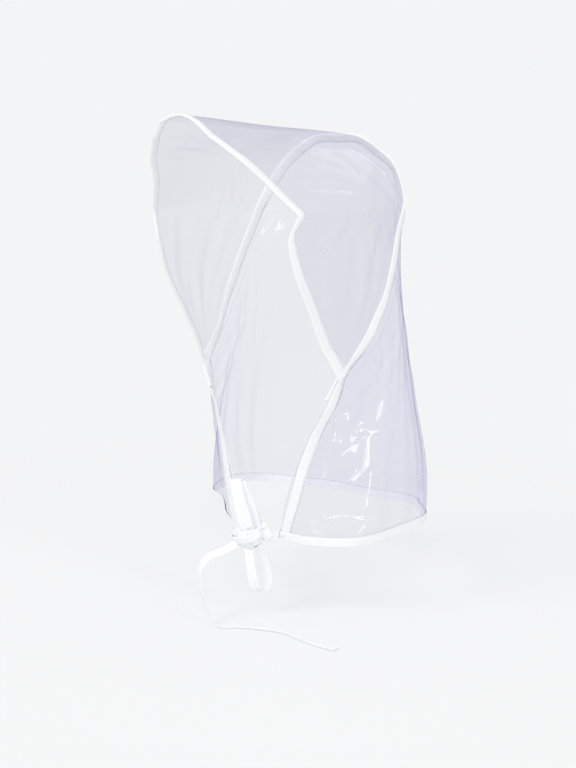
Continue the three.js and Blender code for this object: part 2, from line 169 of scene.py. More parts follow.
# Edge of the face opening from the jaw (around 0) to the middle of the peak (around 1).
# Columns: around, x / HALF_OPENING, y / PEAK_REACH, z / JAW_DROP
FACE_EDGE = [
    (0.00, 0.985, -0.296, -0.965),
    (0.08, 0.943, -0.345, -0.910),
    (0.18, 0.926, -0.468, -0.768),
    (0.30, 0.930, -0.607, -0.596),
    (0.39, 0.922, -0.667, -0.460),
    (0.43, 0.944, -0.666, -0.413),
    (0.48, 0.991, -0.652, -0.362),
    (0.50, 1.010, -0.647, -0.341),
    (0.52, 0.981, -0.662, -0.324),
    (0.57, 0.908, -0.701, -0.282),
    (0.64, 0.773, -0.770, -0.208),
    (0.72, 0.640, -0.865, -0.131),
    (0.80, 0.526, -0.917, -0.085),
    (0.845, 0.417, -0.961, -0.051),
    (0.86, 0.380, -0.976, -0.040),
    (0.875, 0.344, -0.982, -0.025),
    (0.93, 0.214, -1.006, 0.030),
    (1.00, 0.000, -1.000, 0.053),
]

# Crown seam. Columns: around, x / CAPE_HALF_WIDTH, y / BACK_REACH, z / JAW_DROP
CROWN_SEAM = [
    (0.00, 0.72, -0.30, -1.000),
    (0.12, 0.750, -0.075, -0.870),
    (0.17, 0.768, -0.006, -0.806),
    (0.26, 0.80, 0.12, -0.684),
    (0.42, 0.76, 0.32, -0.455),
    (0.55, 0.73, 0.46, -0.306),
    (0.67, 0.62, 0.53, -0.184),
    (0.78, 0.45, 0.54, -0.096),
    (0.89, 0.24, 0.53, -0.035),
    (1.00, 0.00, 0.52, -0.021),
]

# Lower level curves of the cape. Columns: around, x / CAPE_HALF_WIDTH, y / BACK_REACH, z / CAPE_DROP
NAPE = [
    (0.00, 0.59, -0.385, -0.674),
    (0.12, 0.75, -0.15, -0.646),
    (0.26, 0.82, 0.14, -0.557),
    (0.42, 0.81, 0.33, -0.457),
    (0.55, 0.69, 0.49, -0.394),
    (0.67, 0.56, 0.65, -0.349),
    (0.78, 0.42, 0.77, -0.320),
    (0.89, 0.22, 0.84, -0.303),
    (1.00, 0.00, 0.87, -0.297),
]
NECK = [
    (0.00, 0.43, -0.43, -0.800),
    (0.12, 0.65, -0.31, -0.791),
    (0.26, 0.87, -0.06, -0.754),
    (0.42, 0.92, 0.21, -0.709),
    (0.55, 0.85, 0.45, -0.680),
    (0.67, 0.73, 0.64, -0.657),
    (0.78, 0.55, 0.79, -0.640),
    (0.89, 0.29, 0.88, -0.629),
    (1.00, 0.00, 0.92, -0.623),
]
SHOULDER = [
    (0.00, 0.31, -0.445, -0.900),
    (0.12, 0.56, -0.40, -0.903),
    (0.26, 0.86, -0.20, -0.891),
    (0.42, 0.99, 0.17, -0.874),
    (0.55, 0.95, 0.46, -0.863),
    (0.67, 0.83, 0.68, -0.854),
    (0.78, 0.62, 0.84, -0.849),
    (0.89, 0.32, 0.94, -0.846),
    (1.00, 0.00, 0.98, -0.843),
]
HEM = [
    (0.00, 0.20, -0.44, -1.004),
    (0.12, 0.49, -0.445, -1.006),
    (0.26, 0.83, -0.29, -1.006),
    (0.42, 1.00, 0.16, -1.000),
    (0.55, 0.96, 0.45, -1.001),
    (0.67, 0.84, 0.67, -1.003),
    (0.78, 0.64, 0.84, -1.006),
    (0.89, 0.34, 0.95, -1.009),
    (1.00, 0.00, 1.00, -1.010),
]
CAPE_LEVELS = np.array([0, 0.3, 0.6, 0.82, 1])

# How much of HOOD_BULGE each part of the hood panel gets. Columns: around, share
BULGE_SHARE = [(0.0, 0.0), (0.20, 0.50), (0.45, 1.0), (0.70, 1.0), (0.85, 0.45), (1.0, 0.20)]

# Welts and valleys pressed into the films. Columns: around and down (on the hood, back) at the start, the
# same two at the end, half-width, height outwards. The lengths turn shares of around, down and back into
# metres. Along the welts a near white painted highlight is mixed into the film, full on a welt of the height
# set after the tables.
CAPE_WELTS = [
    (0.036, 0.335, 0.055, 0.385, 0.0013, 0.0009),
    (0.055, 0.385, 0.074, 0.470, 0.0014, 0.0012),
    (0.074, 0.470, 0.080, 0.505, 0.0024, 0.0014),
    (0.066, 0.570, 0.100, 0.686, 0.0012, 0.0010),
    (0.100, 0.686, 0.109, 0.766, 0.0017, 0.0012),
    (0.146, 0.880, 0.152, 0.888, 0.0020, 0.0010),
    (0.100, 0.912, 0.120, 0.940, 0.0015, 0.0009),
    (0.120, 0.940, 0.150, 0.957, 0.0015, 0.0009),
    (0.110, 0.905, 0.200, 0.880, 0.0015, 0.0008),
    (0.200, 0.880, 0.290, 0.915, 0.0016, 0.0008),
    (0.170, 0.505, 0.244, 0.565, 0.0032, 0.0013),
    (0.244, 0.565, 0.342, 0.612, 0.0018, 0.0009),
    (0.215, 0.575, 0.232, 0.690, 0.0050, 0.0018),
    (0.232, 0.690, 0.207, 0.735, 0.0050, 0.0018),
    (0.306, 0.722, 0.325, 0.849, 0.0022, 0.0011),
    (0.120, 0.117, 0.226, 0.365, 0.0024, -0.0013),
    (0.226, 0.365, 0.308, 0.455, 0.0024, -0.0012),
    (0.211, 0.157, 0.239, 0.311, 0.0042, -0.0016),
]
CAPE_AROUND = 0.30
CAPE_DOWN = 0.26
HOOD_WELTS = [
    (0.760, 0.690, 0.640, 0.840, 0.0022, 0.0009),
    (0.640, 0.840, 0.520, 0.900, 0.0022, 0.0009),
    (0.730, 0.560, 0.640, 0.640, 0.0030, -0.0009),
    (0.500, 0.548, 0.376, 0.732, 0.0020, 0.0008),
    (0.590, 0.200, 0.560, 0.460, 0.0024, 0.0007),
    (0.390, 0.230, 0.300, 0.400, 0.0024, 0.0008),
]
HOOD_AROUND = 0.25
HOOD_BACK = 0.13
# Welt height that carries the full painted highlight
FULL_HIGHLIGHT_HEIGHT = 0.0014

# Routes of the ties' centre lines. They are the chosen points of the CAD model, but for the upper loop's
# fold and roots, which are pieces of the scene alone.
NEAR_TIE = [
    (0.0192, -0.0571, -0.3475), (0.0182, -0.0596, -0.3482), (0.0168, -0.0624, -0.3486),
    (0.0148, -0.0656, -0.3486), (0.0122, -0.0686, -0.3483), (0.0098, -0.0713, -0.3478),
]
FAR_TIE = [(-x, y, z) for x, y, z in NEAR_TIE]
UPPER_LOOP = [
    (0.0037, -0.0829, -0.3379), (0.0019, -0.0834, -0.3323), (-0.0010, -0.0832, -0.3239),
    (-0.0044, -0.0828, -0.3147), (-0.0072, -0.0820, -0.3065), (-0.0092, -0.0809, -0.3012),
    (-0.0107, -0.0784, -0.2984), (-0.0108, -0.0758, -0.2995), (-0.0093, -0.0741, -0.3040),
    (-0.0057, -0.0726, -0.3118), (-0.0010, -0.0717, -0.3211), (0.0045, -0.0710, -0.3298),
    (0.0110, -0.0711, -0.3394),
]
LOOP_FOLD = [
    (0.0071, -0.0753, -0.3397), (0.0037, -0.0755, -0.3276), (-0.0008, -0.0765, -0.3156),
    (-0.0049, -0.0773, -0.3062), (-0.0073, -0.0776, -0.3003),
]
LEFT_ROOT = [(0.0025, -0.0829, -0.3350), (0.0040, -0.0822, -0.3405), (0.0048, -0.0798, -0.3470)]
RIGHT_ROOT = [(0.0095, -0.0710, -0.3370), (0.0130, -0.0706, -0.3425), (0.0170, -0.0690, -0.3480)]
LOWER_LOOP = [
    (0.0039, -0.0812, -0.3579), (0.0056, -0.0827, -0.3630), (0.0073, -0.0836, -0.3690),
    (0.0091, -0.0843, -0.3765), (0.0106, -0.0845, -0.3840), (0.0123, -0.0829, -0.3902),
    (0.0148, -0.0791, -0.3932), (0.0169, -0.0744, -0.3920), (0.0174, -0.0715, -0.3871),
    (0.0159, -0.0704, -0.3790), (0.0133, -0.0709, -0.3703), (0.0112, -0.0719, -0.3634),
    (0.0090, -0.0734, -0.3559),
]
TAIL_REST = TIE_THICKNESS / 2 - FLOOR_DROP
LONG_TAIL = [
    (-0.0075, -0.0846, -0.3536), (-0.0111, -0.0886, -0.3570), (-0.0174, -0.0966, -0.3604),
    (-0.0220, -0.1036, -0.3628), (-0.0246, -0.1100, -0.3680), (-0.0242, -0.1156, -0.3760),
    (-0.0208, -0.1192, -0.3844), (-0.0144, -0.1222, -0.3950), (-0.0074, -0.1244, -0.4046),
    (-0.0010, -0.1262, -0.4112), (0.0050, -0.1260, TAIL_REST), (0.0195, -0.1175, TAIL_REST),
    (0.0395, -0.1108, TAIL_REST), (0.0584, -0.1082, TAIL_REST), (0.0777, -0.1136, TAIL_REST),
    (0.0992, -0.1186, TAIL_REST), (0.1160, -0.1204, TAIL_REST),
]

# Directions of the tapes' widths, and how far the tail's turns. Columns: length along the tail, degrees
BOW_WIDTH = np.array([0.84, 0.54, 0.0])
TAIL_WIDTH = np.array([0.54, -0.84, 0.0])
UPRIGHT = np.array([0.0, 0.0, 1.0])
TAIL_TURNS = np.array([(0, 38), (0.030, 56), (0.046, 64), (0.062, 72), (0.082, 78), (0.100, 90)])


def smooth(value, low, high):
    """Smooth step: 0 below low, 1 above high, 3u^2 - 2u^3 between them."""
    u = np.clip((value - low) / (high - low), 0, 1)
    return u * u * (3 - 2 * u)


def bump(value, centre, width):
    """Bell curve of height 1 round a centre."""
    return np.exp(-(((value - centre) / width) ** 2))


def unit(vectors):
    """Vectors over their own lengths."""
    return vectors / np.maximum(np.linalg.norm(vectors, axis=-1, keepdims=True), 1e-12)


def both_sides(rows, width, depth, height):
    """A level curve's rows in metres, then their mirror image, so that around runs from 0 to 2."""
    left = np.array(rows) * [1, width, depth, height]
    right = left[-2::-1] * [-1, -1, 1, 1] + [2, 0, 0, 0]
    return np.concatenate([left, right])


def hermite(start, end, slope_start, slope_end, length, u):
    """Cubic from start to end whose slopes over the length are the two given ones."""
    return (
        (2 * u**3 - 3 * u**2 + 1) * start
        + (u**3 - 2 * u**2 + u) * length * slope_start
        + (3 * u**2 - 2 * u**3) * end
        + (u**3 - u**2) * length * slope_end
    )


def along(rows, around):
    """Smooth curve through a table: cubics whose slope at a row is that of the line between the rows beside
    it."""
    keys, points = rows[:, 0], rows[:, 1:]
    slopes = np.empty_like(points)
    slopes[1:-1] = (points[2:] - points[:-2]) / (keys[2:] - keys[:-2])[:, None]
    slopes[0] = (points[1] - points[0]) / (keys[1] - keys[0])
    slopes[-1] = (points[-1] - points[-2]) / (keys[-1] - keys[-2])
    row = np.clip(np.searchsorted(keys, around, side="right") - 1, 0, len(keys) - 2)
    length = (keys[row + 1] - keys[row])[..., None]
    u = (around - keys[row])[..., None] / length
    return hermite(points[row], points[row + 1], slopes[row], slopes[row + 1], length, u)


def share(rows, around):
    """Straight stretches through a two-column table, the same on both sides."""
    table = np.array(rows)
    return np.interp(1 - np.abs(around - 1), table[:, 0], table[:, 1])


face_edge = both_sides(FACE_EDGE, HALF_OPENING, PEAK_REACH, JAW_DROP)
crown_seam = both_sides(CROWN_SEAM, CAPE_HALF_WIDTH, BACK_REACH, JAW_DROP)
cape_curves = [crown_seam] + [
    both_sides(rows, CAPE_HALF_WIDTH, BACK_REACH, CAPE_DROP) for rows in (NAPE, NECK, SHOULDER, HEM)
]


def hood_film(around, back):
    """Hood panel: straight from the face edge (back 0) to the crown seam (back 1), swollen outwards by a
    parabola, sunk along the top of the peak by a squared sine, with ridges, folds and creases added."""
    edge, seam = along(face_edge, around), along(crown_seam, around)
    point = edge + (seam - edge) * back[..., None]
    outward = unit(point * [1, 0, 1] + [0, 0, JAW_DROP / 2])
    side = 1 - np.abs(around - 1)
    swell = HOOD_BULGE * share(BULGE_SHARE, around) * 4 * back * (1 - back)
    dip = PEAK_DIP * smooth(side, 0.8, 1) * np.sin(np.pi * back) ** 2
    return point + outward * (swell - dip + hood_relief(around, back, side))[..., None]


def hood_relief(around, back, side):
    """Ridges back from the brim's corners, bells that fade backwards, a cosine fold and fine sine folds over
    the ears, sine waves over the brow and the welts of the hood's table. The fine ones die out at the
    tapes."""
    hold = smooth(back, 0.05, 0.16) * (1 - smooth(back, 0.94, 1.0))
    corners = 0.5 * bump(side, TEMPLE_CORNER, 0.060) + bump(side, PEAK_CORNER, 0.040)
    ridge = RIDGE_HEIGHT * corners * (1 - back)
    ear = smooth(side, 0.12, 0.25) * (1 - smooth(side, 0.42, 0.5))
    fold = EAR_FOLD * ear * np.cos(6 * np.pi * back) * np.sin(np.pi * back)
    lean = back + 0.10 * np.sin(5 * side + 1.3 * around)
    folds = FINE_FOLD * ear * hold * np.sin(2 * np.pi * 5.3 * lean + 2.2 * np.sin(4 * around))
    brow = smooth(side, 0.52, 0.66) * (1 - smooth(side, 0.80, 0.9)) * bump(back, 0.30, 0.16)
    brow_folds = FINE_FOLD * brow * np.sin(2 * np.pi * (15 * side + 3.5 * back) + np.sin(11 * around))
    narrow = welts(HOOD_WELTS, around, back, HOOD_AROUND, HOOD_BACK)
    return ridge + fold + hold * (folds + brow_folds + narrow)


def welts(rows, first, second, first_length, second_length):
    """Narrow swellings along short straight lines in a surface's two parameters: a bell across each line,
    with round ends. The two lengths turn shares of the parameters into metres."""
    total = np.zeros(np.broadcast(first, second).shape)
    for first_start, second_start, first_end, second_end, half_width, height in rows:
        run_x = (first_end - first_start) * first_length
        run_y = (second_end - second_start) * second_length
        x = (first - first_start) * first_length
        y = (second - second_start) * second_length
        t = np.clip((x * run_x + y * run_y) / (run_x**2 + run_y**2), 0, 1)
        total += height * np.exp(-((x - t * run_x) ** 2 + (y - t * run_y) ** 2) / half_width**2)
    return total


def plain_cape(around, down):
    """Cape without its folds: a cubic through five level curves, from the crown seam (down 0) to the hem
    (down 1), with natural ends. The wearer's right side hangs nearer the middle, further back and higher."""
    points = np.stack([along(curve, around) for curve in cape_curves], -2)
    slopes = np.empty_like(points)
    levels = CAPE_LEVELS
    slopes[..., 1:-1, :] = (points[..., 2:, :] - points[..., :-2, :]) / (levels[2:] - levels[:-2])[:, None]
    first = (points[..., 1, :] - points[..., 0, :]) / (levels[1] - levels[0])
    last = (points[..., -1, :] - points[..., -2, :]) / (levels[-1] - levels[-2])
    slopes[..., 0, :] = 2 * first - slopes[..., 1, :]
    slopes[..., -1, :] = 2 * last - slopes[..., -2, :]
    row = np.clip(np.searchsorted(levels, down, side="left") - 1, 0, len(levels) - 2)

    def pick(values, index):
        return np.take_along_axis(values, index[..., None, None], axis=-2)[..., 0, :]

    length = (levels[row + 1] - levels[row])[..., None]
    u = (down - levels[row])[..., None] / length
    start, end = pick(points, row), pick(points, row + 1)
    point = hermite(start, end, pick(slopes, row), pick(slopes, row + 1), length, u)
    right = 2 - around
    shift = smooth(right, 0, 0.2) * (1 - smooth(right, 0.2, 1)) * down
    return point + RIGHT_SHIFT * shift[..., None]


def normals_of(surface, around, down):
    """Outward normals of a surface: the cross product of small steps down and around it."""
    step = 0.004
    sideways = surface(np.minimum(around + step, 2), down) - surface(np.maximum(around - step, 0), down)
    downwards = surface(around, np.minimum(down + step, 1)) - surface(around, np.maximum(down - step, 0))
    return unit(np.cross(downwards, sideways))


def calm(around, down):
    """Share of gathers and creases that the smooth part of the right nape keeps."""
    return 1 - 0.9 * bump(around, 1.42, 0.13) * bump(down, 0.17, 0.12)


def cape_film(around, down):
    """Cape: the plain form moved along its normals by gathers under the seam and by loose folds that open
    towards the hem, both fading at the front edges, which curl towards the throat."""
    edge = np.sin(np.pi * np.clip(around, 0, 2) / 2) ** 2
    gather = GATHER_HEIGHT * np.cos(np.pi * GATHERS * around) * (1 - down) ** 3 * calm(around, down)
    drape = DRAPE_DEPTH * np.cos(2 * np.pi * (3.5 * around + 0.1)) * down**2
    normals = normals_of(plain_cape, around, down)
    height = edge * (gather + drape) + cape_relief(around, down)
    points = plain_cape(around, down) + normals * height[..., None]
    left = smooth(down, 0.28, 0.48) * (1 - smooth(down, 0.60, 0.85))
    right = smooth(down, 0.06, 0.40) * (1 - smooth(down, 0.50, 1.0))
    left = left * (1 - smooth(around, 0, CURL_BAND))
    right = right * (1 - smooth(2 - around, 0, CURL_BAND))
    points[..., 0] += RIGHT_CURL * right - LEFT_CURL * left
    return points


def cape_relief(around, down):
    """Fine relief of the cape: sine pleats below the seam, creases over the nape as the product of two
    crossed sines, upright sine folds towards the hem, cosine ovals above the hem and the welts of the cape's
    table."""
    hold = smooth(around, 0.02, 0.10) * smooth(2 - around, 0.02, 0.10) * smooth(down, 0.03, 0.08)
    free = 1 - smooth(down, 0.93, 0.985)
    wander = np.sin(7 * around + 2.5 * down)
    puckers = PUCKER * bump(down, 0.08, 0.07) * np.sin(2 * np.pi * (16 * down + 0.4 * wander))
    rising = np.sin(2 * np.pi * (6.3 * around + 4 * down))
    falling = np.sin(2 * np.pi * (5.1 * around - 3.4 * down) + 0.7)
    crossing = CREASE * bump(down, 0.42, 0.20) * rising * falling * calm(around, down)
    upright = CREASE * smooth(down, 0.35, 0.75) * np.sin(2 * np.pi * (8.7 * around + 0.35 * wander))
    narrow = welts(CAPE_WELTS, around, down, CAPE_AROUND, CAPE_DOWN)
    ovals = OVAL * bump(down, 0.915, 0.03) * np.cos(2 * np.pi * 9.5 * around)
    return hold * (free * (puckers + crossing + upright) + ovals + narrow)


def mesh_object(name, points, faces, uv=None):
    """Object at the origin from points and faces, smooth, with a UV map of one pair for each point."""
    mesh = bpy.data.meshes.new(name)
    mesh.from_pydata(np.asarray(points).tolist(), [], faces if isinstance(faces, list) else faces.tolist())
    mesh.polygons.foreach_set("use_smooth", [True] * len(mesh.polygons))
    if uv is not None:
        loops = np.empty(len(mesh.loops), dtype=np.int64)
        mesh.loops.foreach_get("vertex_index", loops)
        mesh.uv_layers.new(name="across").data.foreach_set("uv", np.asarray(uv)[loops].ravel())
    mesh.update()
    thing = bpy.data.objects.new(name, mesh)
    bpy.context.scene.collection.objects.link(thing)
    return thing


def grid_faces(columns, rows, closed=False):
    """Quads of a grid stored column by column, each from four neighbours. A closed grid's last row joins its
    first."""
    c, r = np.meshgrid(np.arange(columns - 1), np.arange(rows if closed else rows - 1), indexing="ij")
    n = (r + 1) % rows
    return np.stack([c * rows + r, c * rows + n, (c + 1) * rows + n, (c + 1) * rows + r], -1).reshape(-1, 4)


def sheet_object(name, surface, around, down, painted_highlight):
    """Open sheet over a grid of two parameters, which are also its UV map. A point attribute holds the
    painted highlight along the welts."""
    a, d = np.meshgrid(around, down, indexing="ij")
    points = surface(a, d).reshape(-1, 3)
    uv = np.stack([a, d], -1).reshape(-1, 2)
    sheet = mesh_object(name, points, grid_faces(len(around), len(down)), uv)
    # Painted highlight along the welts, kept on the points
    highlight_attribute = sheet.data.attributes.new("painted_highlight", "FLOAT", "POINT")
    highlight_attribute.data.foreach_set("value", np.clip(painted_highlight(a, d), 0, 1).ravel())
    return sheet


def welt_highlight(rows, first_length, second_length):
    """Painted highlight along the welts, as a function of a surface's two parameters: the welts of a table
    as shares, narrower than they stand.
    """
    ridges = [(*row[:4], row[4] * 0.6, row[5] / FULL_HIGHLIGHT_HEIGHT) for row in rows if row[5] > 0]
    return lambda first, second: welts(ridges, first, second, first_length, second_length)


def folded_tape(name, edge, inward, normal, width):
    """Tape folded over a film edge: a thin U section carried along the edge, its width given for each
    section. Across a section, reach runs from the inner leaf's rim, round the fold outside the edge, to the
    outer leaf's rim. A second, inner layer closes it. The leaves pucker slightly along the edge."""
    count = len(edge)
    steps = np.concatenate([[0], np.cumsum(np.linalg.norm(np.diff(edge, axis=0), axis=1))])
    turn = np.linspace(-np.pi / 2, np.pi / 2, 7)
    profile_out = np.concatenate([[-1.0, -0.66, -0.33], np.zeros(7), [-0.33, -0.66, -1.0]])
    bulge = np.concatenate([np.zeros(3), np.cos(turn), np.zeros(3)])
    profile_off = np.concatenate([[-1.0, -1.0, -1.0], np.sin(turn), [1.0, 1.0, 1.0]])
    pucker = 0.00012 * np.sin(2 * np.pi * steps / 0.0053 + 1.7 * np.sin(steps / 0.017))
    pucker = pucker[:, None] * (-profile_out * (1 + profile_out) * 4)[None, :]
    ring = []
    for off, order in ((TAPE_HALF, 1), (TAPE_HALF - TAPE_LEAF, -1)):
        away = -profile_out[None, :] * width[:, None] - bulge[None, :] * off
        points = (
            edge[:, None]
            + inward[:, None] * away[..., None]
            + normal[:, None] * (profile_off[None, :] * off + pucker * np.sign(profile_off))[..., None]
        )
        ring.append(points[:, ::order])
    points = np.concatenate(ring, 1)
    sides = points.shape[1]
    faces = grid_faces(count, sides, closed=True)
    ends = [list(range(sides))[::-1], list(range((count - 1) * sides, count * sides))]
    reach = np.concatenate([profile_out, profile_out[::-1]])
    uv = np.stack(np.broadcast_arrays(steps[:, None], -reach[None, :]), -1).reshape(-1, 2)
    return mesh_object(name, points.reshape(-1, 3), faces.tolist() + ends, uv)


def through_points(route, step):
    """Points at even steps along a smooth curve through a route, with their directions and their lengths
    along it. Each stretch blends straight lines through four of the route's points, spaced by the roots of
    their distances."""
    points = np.array(route, dtype=float)
    padded = np.concatenate([[2 * points[0] - points[1]], points, [2 * points[-1] - points[-2]]])
    fine = []
    for index in range(len(points) - 1):
        p0, p1, p2, p3 = padded[index : index + 4]
        spans = [np.linalg.norm(b - a) ** 0.5 for a, b in ((p0, p1), (p1, p2), (p2, p3))]
        t1, t2, t3 = np.cumsum(spans)
        t = np.linspace(t1, t2, 24, endpoint=False)[:, None]
        a1 = (t1 - t) / t1 * p0 + t / t1 * p1
        a2 = (t2 - t) / (t2 - t1) * p1 + (t - t1) / (t2 - t1) * p2
        a3 = (t3 - t) / (t3 - t2) * p2 + (t - t2) / (t3 - t2) * p3
        b1 = (t2 - t) / t2 * a1 + t / t2 * a2
        b2 = (t3 - t) / (t3 - t1) * a2 + (t - t1) / (t3 - t1) * a3
        fine.append((t2 - t) / (t2 - t1) * b1 + (t - t1) / (t2 - t1) * b2)
    fine = np.concatenate([*fine, points[-1:]])
    length = np.concatenate([[0], np.cumsum(np.linalg.norm(np.diff(fine, axis=0), axis=1))])
    at = np.linspace(0, length[-1], max(int(length[-1] / step), 6) + 1)
    places = np.stack([np.interp(at, length, fine[:, axis]) for axis in range(3)], -1)
    return places, unit(np.gradient(places, axis=0)), at


def tail_width(tangents, at):
    """Direction of the tail's width: half turned to the front at the knot, then turned by the angles of its
    table until the tape hangs edge-on and lies flat on the floor."""
    upright = unit(np.cross(TAIL_WIDTH, tangents))
    turn = np.radians(np.interp(at, TAIL_TURNS[:, 0], TAIL_TURNS[:, 1]))[:, None]
    return upright * np.cos(turn) + TAIL_WIDTH * np.sin(turn)


def flat_tie(name, route, width_along, cup=0.0, widths=EVEN_TIE, grow=TIE_GROW):
    """Flat tape carried along a route: a thin rounded section whose width keeps near one direction, or takes
    one for each length along it, its edges lifted by cup, a share of the half-width. The widths are those
    at the start, the middle and the end. The tape runs on past the route's ends by the lengths of grow."""
    path, directions, lengths = through_points(route, TIE_STEP)
    before = path[:1] - directions[:1] * grow[0]
    after = path[-1:] + directions[-1:] * grow[1]
    places = np.concatenate([before, path, after])
    tangents = np.concatenate([directions[:1], directions, directions[-1:]])
    at = np.concatenate([[-grow[0]], lengths, [lengths[-1] + grow[1]]])
    if callable(width_along):
        wanted = width_along(tangents, at)
    else:
        wanted = np.broadcast_to(width_along, places.shape)
    across = unit(wanted - tangents * np.sum(tangents * wanted, -1, keepdims=True))
    through = np.cross(tangents, across)
    angle = np.linspace(0, 2 * np.pi, 20, endpoint=False)
    flat = np.sign(np.cos(angle)) * np.abs(np.cos(angle)) ** 0.6
    thick = np.sign(np.sin(angle)) * np.abs(np.sin(angle)) ** 0.8
    half_width = np.interp(at / lengths[-1], [0, 0.5, 1], widths)[:, None] / 2
    height = thick * TIE_THICKNESS / 2 + half_width * cup * (flat**2 - 0.3)
    points = (
        places[:, None]
        + across[:, None] * (flat * half_width)[..., None]
        + through[:, None] * height[..., None]
    )
    count, sides = len(places), len(angle)
    faces = grid_faces(count, sides, closed=True).tolist()
    faces += [list(range(sides))[::-1], list(range((count - 1) * sides, count * sides))]
    uv = np.stack(np.broadcast_arrays(at[:, None], (flat * 0.5 + 0.5)[None, :]), -1).reshape(-1, 2)
    return mesh_object(name, points.reshape(-1, 3), faces, uv), path, float(lengths[-1])


def on_knot(direction, lift):
    """Points on the knot's ellipsoid in the given directions, lifted off it."""
    return KNOT_PLACE + KNOT_HALF * unit(direction) * lift[..., None]


def knot_object():
    """Puckered core of the knot: its ellipsoid by turn and rise, with a radius that swings in slanting
    waves, five around and nine over the poles. At each pole the rows end in a short line, not in a point."""
    turns, rises = np.linspace(0, 2 * np.pi, 72, endpoint=False), np.linspace(0, np.pi, 37)
    turn, rise = np.meshgrid(turns, rises, indexing="ij")
    around_waves = np.sin(5 * turn + 3 * np.cos(rise)) * np.sin(rise)
    radius = KNOT_CORE + 0.05 * around_waves + 0.03 * np.cos(9 * rise + 2 * turn)
    direction = np.stack([np.cos(turn) * np.sin(rise), np.sin(turn) * np.sin(rise), np.cos(rise)], -1)
    points = on_knot(direction, radius).reshape(-1, 3)
    columns, rows = turn.shape
    c, r = np.meshgrid(np.arange(columns), np.arange(rows - 1), indexing="ij")
    n = (c + 1) % columns
    faces = np.stack([c * rows + r, c * rows + r + 1, n * rows + r + 1, n * rows + r], -1).reshape(-1, 4)
    uv = np.stack([turn / (2 * np.pi) * 0.03, 0.3 + 0.4 * rise / np.pi], -1).reshape(-1, 2)
    return mesh_object("bow_core", points, faces, uv)


def knot_wrap(name, axis, half_share, lift):
    """Turn of tape round the knot: a rounded flat section carried round an axis on the knot's ellipsoid,
    swaying twice in a turn. It reaches half_share to each side, a share of the knot's size, with a crease
    along it."""
    axis = unit(np.array(axis, dtype=float))
    first = unit(np.cross(axis, [0.31, 0.93, 0.17]))
    second = np.cross(axis, first)
    turn = np.linspace(0, 2 * np.pi, 97)[:-1]
    section = np.linspace(0, 2 * np.pi, 18, endpoint=False)
    wide = np.sign(np.cos(section)) * np.abs(np.cos(section)) ** 0.6 * half_share
    high = lift + 0.045 * np.sin(section) + 0.02 * np.cos(2 * np.pi * 1.5 * wide / half_share)
    ring = first * np.cos(turn)[:, None] + second * np.sin(turn)[:, None]
    sway = 0.10 * np.sin(2 * turn)[:, None]
    direction = ring[:, None] + axis * (wide[None, :] + sway)[..., None]
    points = on_knot(direction, np.broadcast_to(high, direction.shape[:2]))
    count, sides = len(turn), len(section)
    c, r = np.meshgrid(np.arange(count), np.arange(sides), indexing="ij")
    n, m = (c + 1) % count, (r + 1) % sides
    faces = np.stack([c * sides + r, n * sides + r, n * sides + m, c * sides + m], -1).reshape(-1, 4)
    uv = np.stack(np.broadcast_arrays(turn[:, None] * 0.012, (wide / half_share * 0.5 + 0.5)[None, :]), -1)
    return mesh_object(name, points.reshape(-1, 3), faces, uv.reshape(-1, 2))


def edge_frames(surface, around, down, inward_step):
    """Points, inward directions and normals along one edge of a surface. The inward direction is that of a
    small step in the two parameters."""
    points = surface(around, down)
    normals = normals_of(surface, around, down)
    inside = surface(around + inward_step[0], down + inward_step[1]) - points
    return points, unit(inside), normals


def soften(values, count):
    """Moving average over a bell of the given half-width, in rows, with the ends held."""
    bell = np.exp(-((np.arange(-2 * count, 2 * count + 1) / count) ** 2))
    first, last = (np.repeat(end, 2 * count, 0) for end in (values[:1], values[-1:]))
    padded = np.concatenate([first, values, last])
    return np.stack([np.convolve(padded[:, axis], bell / bell.sum(), "valid") for axis in range(3)], -1)


def even_frames(frames, step, point_blur, turn_blur):
    """Frames at even steps along their points, with corners rounded and turns eased by two blurs in metres,
    then made square to the path and to each other. The last value is the share of the length at each."""
    points, inside, normals = frames
    length = np.concatenate([[0], np.cumsum(np.linalg.norm(np.diff(points, axis=0), axis=1))])
    at = np.linspace(0, length[-1], int(length[-1] / step) + 1)
    points, inside, normals = (
        np.stack([np.interp(at, length, values[:, axis]) for axis in range(3)], -1)
        for values in (points, inside, normals)
    )
    ends = points[[0, -1]]
    points = soften(points, max(int(point_blur / step), 1))
    points[[0, -1]] = ends
    inside, normals = (soften(values, max(int(turn_blur / step), 1)) for values in (inside, normals))
    tangents = unit(np.gradient(points, axis=0))
    inside = unit(inside - tangents * np.sum(inside * tangents, -1, keepdims=True))
    normals = normals - tangents * np.sum(normals * tangents, -1, keepdims=True)
    normals = unit(normals - inside * np.sum(normals * inside, -1, keepdims=True))
    return points, inside, normals, at / at[-1]


